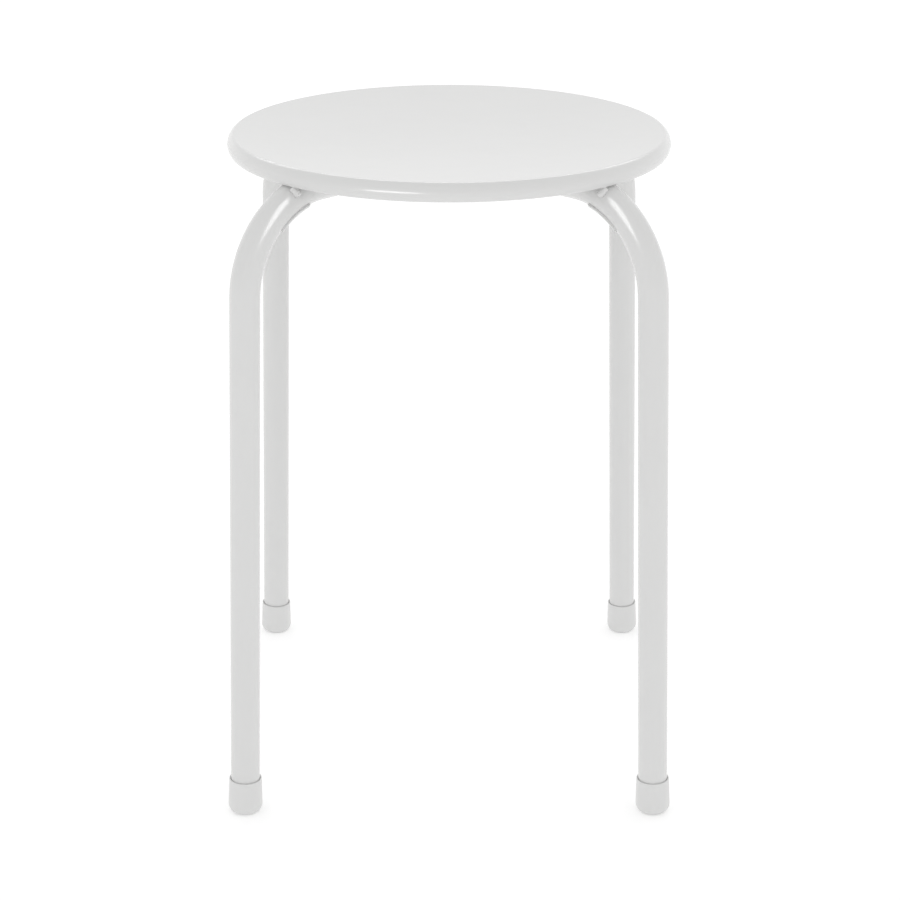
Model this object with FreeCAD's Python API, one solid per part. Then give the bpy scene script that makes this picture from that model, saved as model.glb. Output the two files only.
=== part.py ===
import FreeCAD, Part
import math
import os

# Stacking stool: a round pressed steel seat on four bent tube legs.
# All sizes are in millimetres and all angles in degrees.
# The origin is on the floor under the middle of the seat, +Z is up and the front faces -Y.

# Seat pan, pressed from one disc of sheet
SEAT_HEIGHT = 450.0
SEAT_DIAMETER = 303.0
SHEET_THICKNESS = 1.2
DISH_DEPTH = 5.6
CREST_RADIUS = 1.6
RIM_ROLL_RADIUS = 8.4
RIM_WIDEST_DROP = 7.0
RIM_DEPTH = 12.25
HEM_LENGTH = 4.5

# Leg tubes, which lie under the pan and bend down outside its rim
TUBE_DIAMETER = 20.0
TUBE_WALL = 1.5
BEND_RADIUS = 66.2
LEG_LEAN = 2.5
PAN_TUBE_GAP = 0.3
RIM_TUBE_GAP = 0.8
COPE_GAP = 0.15

# Foot caps, moulded cups pushed over the tube ends
CAP_HEIGHT = 25.0
CAP_FLOOR = 4.5
CAP_TOP_DIAMETER = 22.5
CAP_BASE_DIAMETER = 23.7
CAP_EDGE_RADIUS = 4.5
CAP_CROWN = 0.8
CAP_CLEARANCE = 0.15
CAP_LIP_DEPTH = 1.0
CAP_LIP_GAP = 0.55

# Stacking pads, moulded saddles pegged to the inside of each bend
PAD_THICKNESS = 1.8
PAD_LENGTH = 30.0
PAD_WRAP = 56.0
PAD_CLEARANCE = 0.15
PAD_LIFT_ANGLE = 2.5
PEG_DIAMETER = 4.8
PEG_TO_PEG_LENGTH = 15.0
PEG_HOLE_CLEARANCE = 0.2
PEG_HEAD_DIAMETER = 5.8
PEG_HEAD_LENGTH = 1.6
PEG_TIP_DIAMETER = 3.4
PEG_NECK = 0.9

# Weld beads
RIM_BEAD_RADIUS = 3.2
RIM_BEAD_LENGTH = 3.0
RIM_BEAD_SIDE_ANGLE = 46.0
PAN_BEAD_RADIUS = 2.6
PAN_BEAD_LENGTH = 22.0
PAN_BEAD_START = 34.0
PAN_BEAD_SIDE_ANGLE = 44.0
CENTRE_BEAD_RADIUS = 2.0
CENTRE_BEAD_TOP_ANGLE = 52.0

# The legs stand evenly round the seat, starting from this angle. The through tube joins
# the first leg to the third, and the other two are side legs.
FIRST_LEG_ANGLE = 45.0
LEGS = ("rear_right", "rear_left", "front_left", "front_right")
SIDE_LEGS = LEGS[1::2]

X_AXIS = FreeCAD.Vector(1, 0, 0)
Y_AXIS = FreeCAD.Vector(0, 1, 0)
Z_AXIS = FreeCAD.Vector(0, 0, 1)
ORIGIN = FreeCAD.Vector(0, 0, 0)


# Everything below is drawn in one leg's own plane: x runs outwards from the middle
# of the stool along the leg's diagonal, z is up and y is across the tube.

def plane_point(x, z):
    return FreeCAD.Vector(x, 0, z)


def point_on_circle(centre, radius, angle):
    turn = math.radians(angle)
    return plane_point(centre.x + radius * math.cos(turn), centre.z + radius * math.sin(turn))


def arc(centre, radius, start, end):
    ends_and_middle = [point_on_circle(centre, radius, angle) for angle in (start, (start + end) / 2, end)]
    return Part.Arc(*ends_and_middle).toShape()


def direction_angle(start, end):
    return math.degrees(math.atan2(end.z - start.z, end.x - start.x))


def turned_to_leg(shape, leg):
    placed = shape.copy()
    placed.rotate(ORIGIN, Z_AXIS, FIRST_LEG_ANGLE + LEGS.index(leg) * 360 / len(LEGS))
    return placed


# Circles of the pan's section: the dish, the crest, the rolled rim and the hem at its edge.

seat_radius = SEAT_DIAMETER / 2
rim_centre = plane_point(seat_radius - RIM_ROLL_RADIUS, SEAT_HEIGHT - RIM_WIDEST_DROP)
crest_rise = RIM_WIDEST_DROP - CREST_RADIUS
crest_offset = math.sqrt((RIM_ROLL_RADIUS - CREST_RADIUS) ** 2 - crest_rise ** 2)
crest_centre = plane_point(rim_centre.x + crest_offset, SEAT_HEIGHT - CREST_RADIUS)
dish_radius = (crest_centre.x ** 2 + DISH_DEPTH ** 2) / (2 * DISH_DEPTH) - CREST_RADIUS
dish_centre = plane_point(0, SEAT_HEIGHT - DISH_DEPTH + dish_radius)
hem_circle = RIM_ROLL_RADIUS - SHEET_THICKNESS
hem_drop = RIM_DEPTH - RIM_WIDEST_DROP - SHEET_THICKNESS
hem_angle = -math.degrees(math.asin(hem_drop / hem_circle))
hem_centre = point_on_circle(rim_centre, hem_circle, hem_angle)

# The tubes run level just under the middle of the pan, and each bend passes just under the hem.

tube_radius = TUBE_DIAMETER / 2
bore_radius = tube_radius - TUBE_WALL
tube_level = SEAT_HEIGHT - DISH_DEPTH - SHEET_THICKNESS - PAN_TUBE_GAP - tube_radius
hem_to_bend = BEND_RADIUS + tube_radius + RIM_TUBE_GAP + SHEET_THICKNESS
bend_level = tube_level - BEND_RADIUS
bend_reach = math.sqrt(hem_to_bend ** 2 - (hem_centre.z - bend_level) ** 2)
bend_centre = plane_point(hem_centre.x - bend_reach, bend_level)
leg_top = point_on_circle(bend_centre, BEND_RADIUS, LEG_LEAN)
foot_radius = leg_top.x + leg_top.z * math.tan(math.radians(LEG_LEAN))
leg_direction = plane_point(-math.sin(math.radians(LEG_LEAN)), math.cos(math.radians(LEG_LEAN)))
tube_foot = plane_point(foot_radius, 0) + leg_direction * CAP_FLOOR

# In a stack, each pad rests on the rolled rim of the stool below.

pad_circle = BEND_RADIUS - tube_radius - PAD_THICKNESS
rim_above_bend = math.sqrt((pad_circle - RIM_ROLL_RADIUS) ** 2 - (rim_centre.x - bend_centre.x) ** 2)
stacking_pitch = rim_centre.z - bend_centre.z - rim_above_bend
contact_angle = math.degrees(math.atan2(rim_above_bend, rim_centre.x - bend_centre.x))
pad_middle_angle = contact_angle + PAD_LIFT_ANGLE


def seat_pan():
    sheet = SHEET_THICKNESS
    dish_edge = direction_angle(dish_centre, crest_centre)
    crest_inside = dish_edge + 180
    crest_outside = direction_angle(rim_centre, crest_centre)
    hem_top = hem_angle + math.degrees(HEM_LENGTH / (hem_circle - sheet))
    hem_end_inner = point_on_circle(rim_centre, hem_circle - sheet, hem_top)
    hem_end_outer = point_on_circle(rim_centre, hem_circle, hem_top)
    outline = [
        arc(dish_centre, dish_radius, -90, dish_edge),
        arc(crest_centre, CREST_RADIUS, crest_inside, crest_outside),
        arc(rim_centre, RIM_ROLL_RADIUS, crest_outside, hem_angle),
        arc(hem_centre, sheet, hem_angle, hem_angle - 180),
        arc(rim_centre, hem_circle - sheet, hem_angle, hem_top),
        Part.LineSegment(hem_end_inner, hem_end_outer).toShape(),
        arc(rim_centre, hem_circle, hem_top, crest_outside),
        arc(crest_centre, CREST_RADIUS - sheet, crest_outside, crest_inside),
        arc(dish_centre, dish_radius + sheet, dish_edge, -90),
        Part.LineSegment(
            point_on_circle(dish_centre, dish_radius + sheet, -90),
            point_on_circle(dish_centre, dish_radius, -90),
        ).toShape(),
    ]
    return Part.Face(Part.Wire(outline)).revolve(ORIGIN, Z_AXIS, 360)


# The tube's centre line from the foot up round the bend to the level run.

def leg_edges():
    level_start = point_on_circle(bend_centre, BEND_RADIUS, 90)
    return [
        Part.LineSegment(tube_foot, leg_top).toShape(),
        arc(bend_centre, BEND_RADIUS, LEG_LEAN, 90),
    ], level_start


def rod_along(edges, radius):
    section = Part.Wire(Part.Circle(tube_foot, leg_direction, radius).toShape())
    return Part.Wire(edges).makePipeShell([section], True, False)


def side_leg_rod(radius):
    edges, level_start = leg_edges()
    edges.append(Part.LineSegment(level_start, plane_point(0, tube_level)).toShape())
    return rod_along(edges, radius)


def through_leg_rod(radius):
    edges, level_start = leg_edges()
    far_start = plane_point(-level_start.x, level_start.z)
    far_centre = plane_point(-bend_centre.x, bend_centre.z)
    far_top = plane_point(-leg_top.x, leg_top.z)
    far_foot = plane_point(-tube_foot.x, tube_foot.z)
    edges.append(Part.LineSegment(level_start, far_start).toShape())
    edges.append(arc(far_centre, BEND_RADIUS, 90, 180 - LEG_LEAN))
    edges.append(Part.LineSegment(far_top, far_foot).toShape())
    return rod_along(edges, radius)


# The pegs of a pad point from its saddle towards the middle of the tube.

def peg_angles():
    half_step = math.degrees(PEG_TO_PEG_LENGTH / 2 / BEND_RADIUS)
    return (pad_middle_angle - half_step, pad_middle_angle + half_step)


def peg_direction(angle):
    return point_on_circle(ORIGIN, 1, angle)


def peg_holes():
    hole_radius = PEG_DIAMETER / 2 + PEG_HOLE_CLEARANCE
    holes = [
        Part.makeCylinder(hole_radius, tube_radius, point_on_circle(bend_centre, pad_circle, angle),
                          peg_direction(angle))
        for angle in peg_angles()
    ]
    return holes[0].fuse(holes[1:])


def through_leg_tube():
    tube = through_leg_rod(tube_radius).cut(through_leg_rod(bore_radius))
    holes = peg_holes()
    far_holes = holes.copy()
    far_holes.rotate(ORIGIN, Z_AXIS, 180)
    return turned_to_leg(tube.cut([holes, far_holes]), LEGS[0])


# A side leg stops at the middle, where its end is coped to saddle the through tube.

def side_leg_tube(leg):
    tube = side_leg_rod(tube_radius).cut(side_leg_rod(bore_radius))
    cope_radius = tube_radius + COPE_GAP
    cope_start = FreeCAD.Vector(0, -2 * cope_radius, tube_level)
    cope = Part.makeCylinder(cope_radius, 4 * cope_radius, cope_start, Y_AXIS)
    return turned_to_leg(tube.cut([cope, peg_holes()]), leg)


# A foot cap is turned about the leaning leg and cut level where it stands on the floor.

def foot_cap(leg):
    bore = tube_radius + CAP_CLEARANCE
    base_radius = CAP_BASE_DIAMETER / 2
    top_radius = CAP_TOP_DIAMETER / 2
    mouth_radius = bore + CAP_LIP_GAP
    lip_radius = (top_radius - mouth_radius) / 2
    base = -CAP_CROWN
    edge_centre = plane_point(base_radius - CAP_EDGE_RADIUS, base + CAP_EDGE_RADIUS)
    lip_centre = plane_point((top_radius + mouth_radius) / 2, CAP_HEIGHT - lip_radius)
    corners = [
        plane_point(0, base),
        plane_point(edge_centre.x, base),
        plane_point(base_radius, edge_centre.z),
        plane_point(top_radius, lip_centre.z),
        plane_point(mouth_radius, lip_centre.z),
        plane_point(bore, CAP_HEIGHT - CAP_LIP_DEPTH - lip_radius),
        plane_point(bore, CAP_FLOOR),
        plane_point(0, CAP_FLOOR),
    ]
    outline = [
        Part.LineSegment(corners[0], corners[1]).toShape(),
        arc(edge_centre, CAP_EDGE_RADIUS, -90, 0),
        Part.LineSegment(corners[2], corners[3]).toShape(),
        arc(lip_centre, lip_radius, 0, 180),
    ]
    outline += [Part.LineSegment(a, b).toShape() for a, b in zip(corners[4:], corners[5:] + corners[:1])]
    cap = Part.Face(Part.Wire(outline)).revolve(ORIGIN, Z_AXIS, 360)
    cap.rotate(ORIGIN, Y_AXIS, -LEG_LEAN)
    cap.translate(plane_point(foot_radius, 0))
    slab = 2 * CAP_BASE_DIAMETER
    under_floor = Part.makeBox(slab, slab, slab, FreeCAD.Vector(foot_radius - slab / 2, -slab / 2, -slab))
    return turned_to_leg(cap.cut(under_floor), leg)


# A saddle pad is a strip of the tube's outside, turned about the centre of the bend.

def stacking_pad(leg):
    inner = tube_radius + PAD_CLEARANCE
    outer = tube_radius + PAD_THICKNESS
    edge_radius = (outer - inner) / 2
    middle = (outer + inner) / 2

    def across(radius, angle):
        turn = math.radians(angle)
        return FreeCAD.Vector(BEND_RADIUS + radius * math.cos(turn), radius * math.sin(turn), 0)

    def edge_tip(side):
        tip_angle = 180 + side * (PAD_WRAP + math.degrees(edge_radius / middle))
        return across(middle, tip_angle)

    low = 180 - PAD_WRAP
    high = 180 + PAD_WRAP
    outline = [
        Part.Arc(across(outer, low), across(outer, 180), across(outer, high)).toShape(),
        Part.Arc(across(outer, high), edge_tip(1), across(inner, high)).toShape(),
        Part.Arc(across(inner, high), across(inner, 180), across(inner, low)).toShape(),
        Part.Arc(across(inner, low), edge_tip(-1), across(outer, low)).toShape(),
    ]
    sweep = math.degrees(PAD_LENGTH / BEND_RADIUS)
    pad = Part.Face(Part.Wire(outline)).revolve(ORIGIN, -Y_AXIS, sweep)
    pad.rotate(ORIGIN, -Y_AXIS, pad_middle_angle - sweep / 2)
    pad.translate(bend_centre)
    return turned_to_leg(pad.fuse([peg(angle) for angle in peg_angles()]).removeSplitter(), leg)


def peg(angle):
    direction = peg_direction(angle)
    root = pad_circle + PAD_THICKNESS / 2
    neck_end = BEND_RADIUS - bore_radius + PEG_NECK
    shank_start = point_on_circle(bend_centre, root, angle)
    head_start = point_on_circle(bend_centre, neck_end, angle)
    shank = Part.makeCylinder(PEG_DIAMETER / 2, neck_end - root, shank_start, direction)
    head = Part.makeCone(PEG_HEAD_DIAMETER / 2, PEG_TIP_DIAMETER / 2, PEG_HEAD_LENGTH, head_start, direction)
    return shank.fuse(head)


# Weld beads are rounded runs of metal, cut to the faces that they join.

def bead(start, end, radius):
    run = end - start
    return Part.makeCylinder(radius, run.Length, start, run).fuse(
        [Part.makeSphere(radius, start), Part.makeSphere(radius, end)])


def fitted_between(raw_bead, neighbours):
    pieces = raw_bead.cut(neighbours).Solids
    return max(pieces, key=lambda piece: piece.Volume)


def rim_weld(leg, pan):
    side = math.radians(RIM_BEAD_SIDE_ANGLE)
    from_axis = tube_radius + RIM_BEAD_RADIUS / 2
    level = direction_angle(bend_centre, hem_centre)
    half_run = math.degrees(RIM_BEAD_LENGTH / 2 / BEND_RADIUS)
    beads = []
    for across in (-from_axis * math.sin(side), from_axis * math.sin(side)):
        ends = [
            point_on_circle(bend_centre, BEND_RADIUS + from_axis * math.cos(side), angle) + Y_AXIS * across
            for angle in (level - half_run, level + half_run)
        ]
        beads.append(fitted_between(bead(*ends, RIM_BEAD_RADIUS), [pan, side_leg_rod(tube_radius)]))
    return turned_to_leg(Part.makeCompound(beads), leg)


def pan_weld(leg, pan):
    side = math.radians(PAN_BEAD_SIDE_ANGLE)
    offset_y = tube_radius * math.sin(side)
    offset_z = tube_level + tube_radius * math.cos(side) + PAN_BEAD_RADIUS / 2
    beads = []
    for across in (-offset_y, offset_y):
        start = FreeCAD.Vector(PAN_BEAD_START, across, offset_z)
        raw_bead = bead(start, start + X_AXIS * PAN_BEAD_LENGTH, PAN_BEAD_RADIUS)
        beads.append(fitted_between(raw_bead, [pan, side_leg_rod(tube_radius)]))
    return turned_to_leg(Part.makeCompound(beads), leg)


# Two equal tubes meet on half an ellipse each side. The bead follows both halves
# and stops at the middle, where it meets the other side tube's bead.

def centre_weld(leg):
    centre = plane_point(0, tube_level)
    runs = []
    for side in (-1, 1):
        corner = FreeCAD.Vector(tube_radius, side * tube_radius, tube_level)
        bottom = plane_point(0, tube_level - tube_radius)
        ellipse = Part.Ellipse(corner, bottom, centre)
        seam_start = math.radians(CENTRE_BEAD_TOP_ANGLE - 90)
        seam = Part.ArcOfEllipse(ellipse, seam_start, math.pi / 2).toShape()
        start = seam.valueAt(seam.FirstParameter)
        tangent = seam.tangentAt(seam.FirstParameter)
        section = Part.Wire(Part.Circle(start, tangent, CENTRE_BEAD_RADIUS).toShape())
        runs.append(Part.Wire([seam]).makePipeShell([section], True, False))
        runs.append(Part.makeSphere(CENTRE_BEAD_RADIUS, start))
    runs.append(Part.makeSphere(CENTRE_BEAD_RADIUS, bottom))
    reach = 4 * tube_radius
    through_start = FreeCAD.Vector(0, -reach, tube_level)
    through = Part.makeCylinder(tube_radius, 2 * reach, through_start, Y_AXIS)
    half_corner = FreeCAD.Vector(-reach, -reach, tube_level - reach / 2)
    other_half = Part.makeBox(reach, 2 * reach, reach, half_corner)
    raw_bead = runs[0].fuse(runs[1:])
    return turned_to_leg(fitted_between(raw_bead, [through, side_leg_rod(tube_radius), other_half]), leg)


def stool():
    pan = seat_pan()
    nodes = {"seat_pan": pan, "through_leg_tube": through_leg_tube()}
    for leg in SIDE_LEGS:
        nodes["side_leg_tube_" + leg] = side_leg_tube(leg)
        nodes["centre_weld_" + leg] = centre_weld(leg)
    for leg in LEGS:
        nodes["foot_cap_" + leg] = foot_cap(leg)
        nodes["stacking_pad_" + leg] = stacking_pad(leg)
        nodes["rim_weld_" + leg] = rim_weld(leg, pan)
        nodes["pan_weld_" + leg] = pan_weld(leg, pan)
    return nodes


os.makedirs("parts", exist_ok=True)
for name, shape in stool().items():
    if not shape.isValid() or shape.Volume <= 0:
        raise ValueError(name + " is not a sound solid")
    shape.exportStep("parts/" + name + ".step")
    print(name, len(shape.Solids), "solids", round(shape.Volume), "mm3")
print("foot circle radius", round(foot_radius, 2), "mm")
print("stacking pitch", round(stacking_pitch, 2), "mm at", round(contact_angle, 1), "degrees")
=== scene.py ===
"""Models a stacking stool: a pressed steel seat on four bent tube legs, with foot caps and stacking pads."""

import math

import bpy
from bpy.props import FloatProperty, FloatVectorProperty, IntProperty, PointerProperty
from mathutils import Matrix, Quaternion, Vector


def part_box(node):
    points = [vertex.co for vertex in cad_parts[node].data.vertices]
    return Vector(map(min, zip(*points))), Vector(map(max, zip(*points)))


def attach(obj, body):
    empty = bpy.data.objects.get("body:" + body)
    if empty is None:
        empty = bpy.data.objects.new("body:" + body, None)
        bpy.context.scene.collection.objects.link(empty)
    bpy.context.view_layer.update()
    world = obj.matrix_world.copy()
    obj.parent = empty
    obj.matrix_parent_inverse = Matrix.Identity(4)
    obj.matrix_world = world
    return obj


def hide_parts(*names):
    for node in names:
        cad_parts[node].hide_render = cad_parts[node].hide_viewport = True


bl_info = {
    "name": "Stacking Stool",
    "version": (1, 0, 0),
    "blender": (4, 5, 0),
    "location": "View3D > Sidebar > Stool",
    "description": "Models the seat, the legs, the caps, the pads and the welds of a stacking stool",
    "category": "Add Mesh",
}

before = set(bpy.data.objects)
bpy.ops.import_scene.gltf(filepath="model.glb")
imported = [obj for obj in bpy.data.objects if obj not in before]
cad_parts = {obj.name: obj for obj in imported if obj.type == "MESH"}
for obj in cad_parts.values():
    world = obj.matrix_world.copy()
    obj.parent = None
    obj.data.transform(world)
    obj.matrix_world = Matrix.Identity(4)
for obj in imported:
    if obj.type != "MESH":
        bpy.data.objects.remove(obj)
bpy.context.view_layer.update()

# The seat's height and width come from its box in the frame, rounded to a tenth of a millimetre.
seat_low, seat_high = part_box("seat_pan")
SEAT_HEIGHT = round(seat_high.z, 4)
SEAT_DIAMETER = round(seat_high.x - seat_low.x, 4)

FULL_TURN = 2 * math.pi
RIGHT_ANGLE = math.pi / 2
MERGE_DISTANCE = 1e-6
ANGLE_TOLERANCE = 1e-5
SHARP_ANGLE = math.radians(35)

# Steps round the pan that only cuts the weld beads, and round a peg and its hole
CUTTER_FACETS = 96
PEG_FACETS = 32

# Steps round each edge of a pad's section, and from its middle to one of its edges
PAD_EDGE_STEPS = 5
PAD_WRAP_STEPS = 12

# Rings on a cap's side, as shares of its height
CAP_SIDE_RINGS = (0.04, 0.5, 0.96)

# The seam of two equal tubes is this much longer than a circle of their radius.
SEAM_STRETCH = 1.22

# How flat each round of weld metal is, and how its size wanders from round to round
ROUND_FLATNESS = 0.55
WANDER = 0.04
WANDER_TURN = 2.4

# Noise mostly lies between these two values.
NOISE_LOW, NOISE_HIGH = 0.3, 0.7

# The backdrop is brightest up to the first height, even at the second and darkest from the third.
BACKDROP_FOOT = math.radians(6)
BACKDROP_RISE = math.radians(18)
BACKDROP_TOP = math.radians(32)

# The floor glows a little, so that it meets the white background and lights the stool from below.
FLOOR_LIFT = 0.19

# The backdrop's light is full from this much of the way round behind the stool.
BACKDROP_EDGE = 0.7

# A spin about this axis turns from the outside of a bend up towards its top.
BEND_AXIS = (0, 1, 0)

# The legs stand evenly round the seat from the rear right, and the through tube joins
# the first one to the third.
LEGS = ("rear_right", "rear_left", "front_left", "front_right")
THROUGH_LEGS, SIDE_LEGS = LEGS[::2], LEGS[1::2]
FIRST_LEG_ANGLE = math.radians(45)


def metres(description, default):
    return FloatProperty(description=description, default=default, unit="LENGTH", precision=5)


def degrees(description, default):
    return FloatProperty(description=description, default=math.radians(default), subtype="ANGLE")


def strength_of(description, default):
    return FloatProperty(description=description, default=default, min=0)


def roughness_of(description, default):
    return FloatProperty(description=description, default=default, min=0, max=1)


def colour_of(description, default):
    return FloatVectorProperty(description=description, default=default, subtype="COLOR")


class SeatSizes(bpy.types.PropertyGroup):
    """Sizes of the pressed seat pan."""

    height: metres("Top of the crest above the floor", SEAT_HEIGHT)
    diameter: metres("Width over the rolled rim", SEAT_DIAMETER)
    sheet: metres("Thickness of the sheet", 0.0012)
    dish_depth: metres("How far the middle lies below the crest", 0.0056)
    crest_radius: metres("Rounding of the crest between dish and rim", 0.0016)
    roll_radius: metres("Radius of the rolled rim's section", 0.0084)
    widest_drop: metres("How far the widest line lies below the crest", 0.007)
    rim_depth: metres("Depth of the whole rim", 0.01225)
    hem_length: metres("How far the sheet is folded back inside the rim", 0.0045)
    facets: IntProperty(description="Steps round the seat", default=288, min=32)


class LegSizes(bpy.types.PropertyGroup):
    """Sizes and places of the leg tubes."""

    tube_diameter: metres("Outside of the leg tubes", 0.02)
    tube_wall: metres("Wall of the leg tubes", 0.0015)
    bend_radius: metres("Radius of each bend at the tube's middle", 0.0662)
    lean: degrees("How far each leg leans outwards", 2.5)
    pan_gap: metres("Gap between the level runs and the pan", 0.0003)
    rim_gap: metres("Gap between the bends and the hem", 0.0008)
    cope_gap: metres("Fit of a side tube's coped end", 0.00015)
    facets: IntProperty(description="Steps round a tube", default=72, min=16)


class CapSizes(bpy.types.PropertyGroup):
    """Sizes of the moulded foot caps."""

    height: metres("Height of a cap", 0.025)
    floor: metres("Thickness under the tube's end", 0.0045)
    top_diameter: metres("Outside at the lip", 0.0225)
    base_diameter: metres("Outside above the rounded base", 0.0237)
    edge_radius: metres("Rounding of the base", 0.0062)
    crown: metres("How far the turned base reaches below the floor before it is cut", 0.0008)
    clearance: metres("Fit on the tube", 0.00008)
    lip_depth: metres("Depth of the flared mouth", 0.001)
    lip_gap: metres("Open gap round the tube at the mouth", 0.00014)
    facets: IntProperty(description="Steps round a cap", default=96, min=16)


class PadSizes(bpy.types.PropertyGroup):
    """Sizes of the stacking pads and their pegs."""

    thickness: metres("Thickness of the saddle with its fit", 0.0014)
    length: metres("Length along the bend's middle line", 0.03)
    wrap: degrees("How far the saddle reaches round each side of the tube", 54)
    edge_radius: metres("Rounding of the long edges", 0.0003)
    clearance: metres("Fit on the tube", 0.00004)
    lift: degrees("How far the pad sits above the line where a stacked rim rests", 2.5)
    end_bevel: metres("Rounding of the square ends", 0.0002)
    peg_diameter: metres("Shank of a peg", 0.0048)
    peg_step: metres("Distance from peg to peg", 0.015)
    peg_clearance: metres("Fit of a peg in its hole", 0.0002)
    head_diameter: metres("Widest part of a peg's head", 0.0058)
    head_length: metres("Length of a peg's head", 0.0016)
    tip_diameter: metres("End of a peg's head", 0.0034)
    neck: metres("Shank left free inside the tube", 0.0009)


class WeldSizes(bpy.types.PropertyGroup):
    """Sizes and places of the weld beads."""

    rim_radius: metres("Radius of the full beads at the hem", 0.0025)
    rim_start: degrees("Where the full beads begin, round from the tube's top", 38)
    rim_end: degrees("Where the full beads end, round from the tube's top", 62)
    fine_radius: metres("Radius of the finer beads behind the hem", 0.002)
    fine_start: degrees("Where the finer beads begin, round from the tube's top", 24)
    fine_end: degrees("Where the finer beads end, round from the tube's top", 44)
    fine_inset: metres("How far the finer beads lie inside the hem", 0.004)
    pan_radius: metres("Radius of the beads under the dish", 0.0026)
    pan_length: metres("Run of the beads under the dish", 0.022)
    pan_start: metres("Distance of the beads under the dish from the middle", 0.034)
    pan_side: degrees("Place of the beads under the dish, round from the tube's top", 44)
    centre_radius: metres("Radius of the bead at the coped joint", 0.002)
    centre_top: degrees("Where the bead stops on the upper side of the joint", 52)
    ripple_step: metres("Distance from ripple to ripple", 0.0012)
    skin: metres("Cell size of the bead's skin", 0.00028)


class FinishValues(bpy.types.PropertyGroup):
    """Colours and surfaces of the paint and the plastic."""

    paint: colour_of("Colour of the powder coat", (0.69, 0.69, 0.685))
    plastic: colour_of("Colour of the caps and pads", (0.695, 0.695, 0.69))
    paint_roughness: roughness_of("Roughness of the satin coat", 0.22)
    plastic_roughness: roughness_of("Roughness of the moulded plastic", 0.38)


class StudioValues(bpy.types.PropertyGroup):
    """Light and camera."""

    room_light: strength_of("Strength of the light from above, the sides and the front", 0.9)
    backdrop_light: strength_of("Strength of the light from behind", 1.08)
    backdrop_glow: strength_of("How much brighter the foot of the backdrop is", 0.1)
    backdrop_shade: strength_of("How much darker the upper backdrop is", 0.06)
    lamp_distance: metres("Distance of the side and crest lamps from the seat", 2.2)
    side_glow: strength_of("Brightness of the side lamps, which show on the bends", 7.4)
    side_turn: degrees("Angle of the side lamps to each side of the camera", 42)
    side_span: degrees("Width of the side lamps as seen from the seat", 26)
    side_foot: degrees("Where the side lamps begin above the seat", 15)
    side_top: degrees("Where the side lamps end above the seat", 54)
    side_roll: degrees("How far the side lamps' tops lean outwards", 12)
    rim_glow: strength_of("Brightness of the low lamp that shows on the rim", 19.0)
    rim_place: degrees("Where the rim lamp's reflection lies, to the left of the front", 15.3)
    rim_distance: metres("Distance of the rim lamp from the rim", 0.25)
    rim_turn: degrees("Angle of the rim lamp to the left of the camera", 27)
    rim_span: degrees("Width of the rim lamp as seen from the rim", 33)
    rim_foot: degrees("Where the rim lamp begins below the rim's widest line", -4.5)
    rim_top: degrees("Where the rim lamp ends, low enough not to show in the dish", 1.3)
    crest_glow: strength_of("Brightness of the lamp behind, which shows on the crest", 3.0)
    crest_span: degrees("Width of the crest lamp as seen from the seat", 80)
    crest_foot: degrees("Where the crest lamp begins above the seat", 36)
    crest_top: degrees("Where the crest lamp ends above the seat", 62)
    floor_size: metres("Width of the floor", 60.0)
    floor_colour: colour_of("Colour of the pale floor", (0.95, 0.95, 0.95))
    camera_distance: metres("Level distance from the stool's middle", 1.429945)
    camera_height: metres("Height above the floor", 0.776682)
    camera_tilt: FloatProperty(description="How far the camera looks down", default=0.375, subtype="ANGLE")
    lens: FloatProperty(description="Focal length in millimetres", default=84.716)
    shift_x: FloatProperty(description="Lens shift across the picture", default=0.00105)
    shift_y: FloatProperty(description="Lens shift up the picture", default=0.0)


def plane_point(x, z):
    """A point of the leg's own plane, where x runs outwards from the middle and z is up."""
    return Vector((x, 0, z))


def point_on_circle(centre, radius, angle):
    return centre + radius * Vector((math.cos(angle), 0, math.sin(angle)))


def direction_angle(start, end):
    return math.atan2(end.z - start.z, end.x - start.x)


def arc_points(centre, radius, start, end, steps, ease=lambda share: share):
    """Points along an arc of the leg's plane, both ends included."""
    return [
        point_on_circle(centre, radius, start + (end - start) * ease(step / steps))
        for step in range(steps + 1)
    ]


def chain(first, *others):
    """Joins runs of points, each of which begins where the one before it ends."""
    return first + [point for run in others for point in run[1:]]


def slow_end(share):
    return math.sin(share * RIGHT_ANGLE)


def slow_start(share):
    return 1 - math.cos(share * RIGHT_ANGLE)


def slow_both(share):
    return (1 - math.cos(share * math.pi)) / 2


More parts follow.
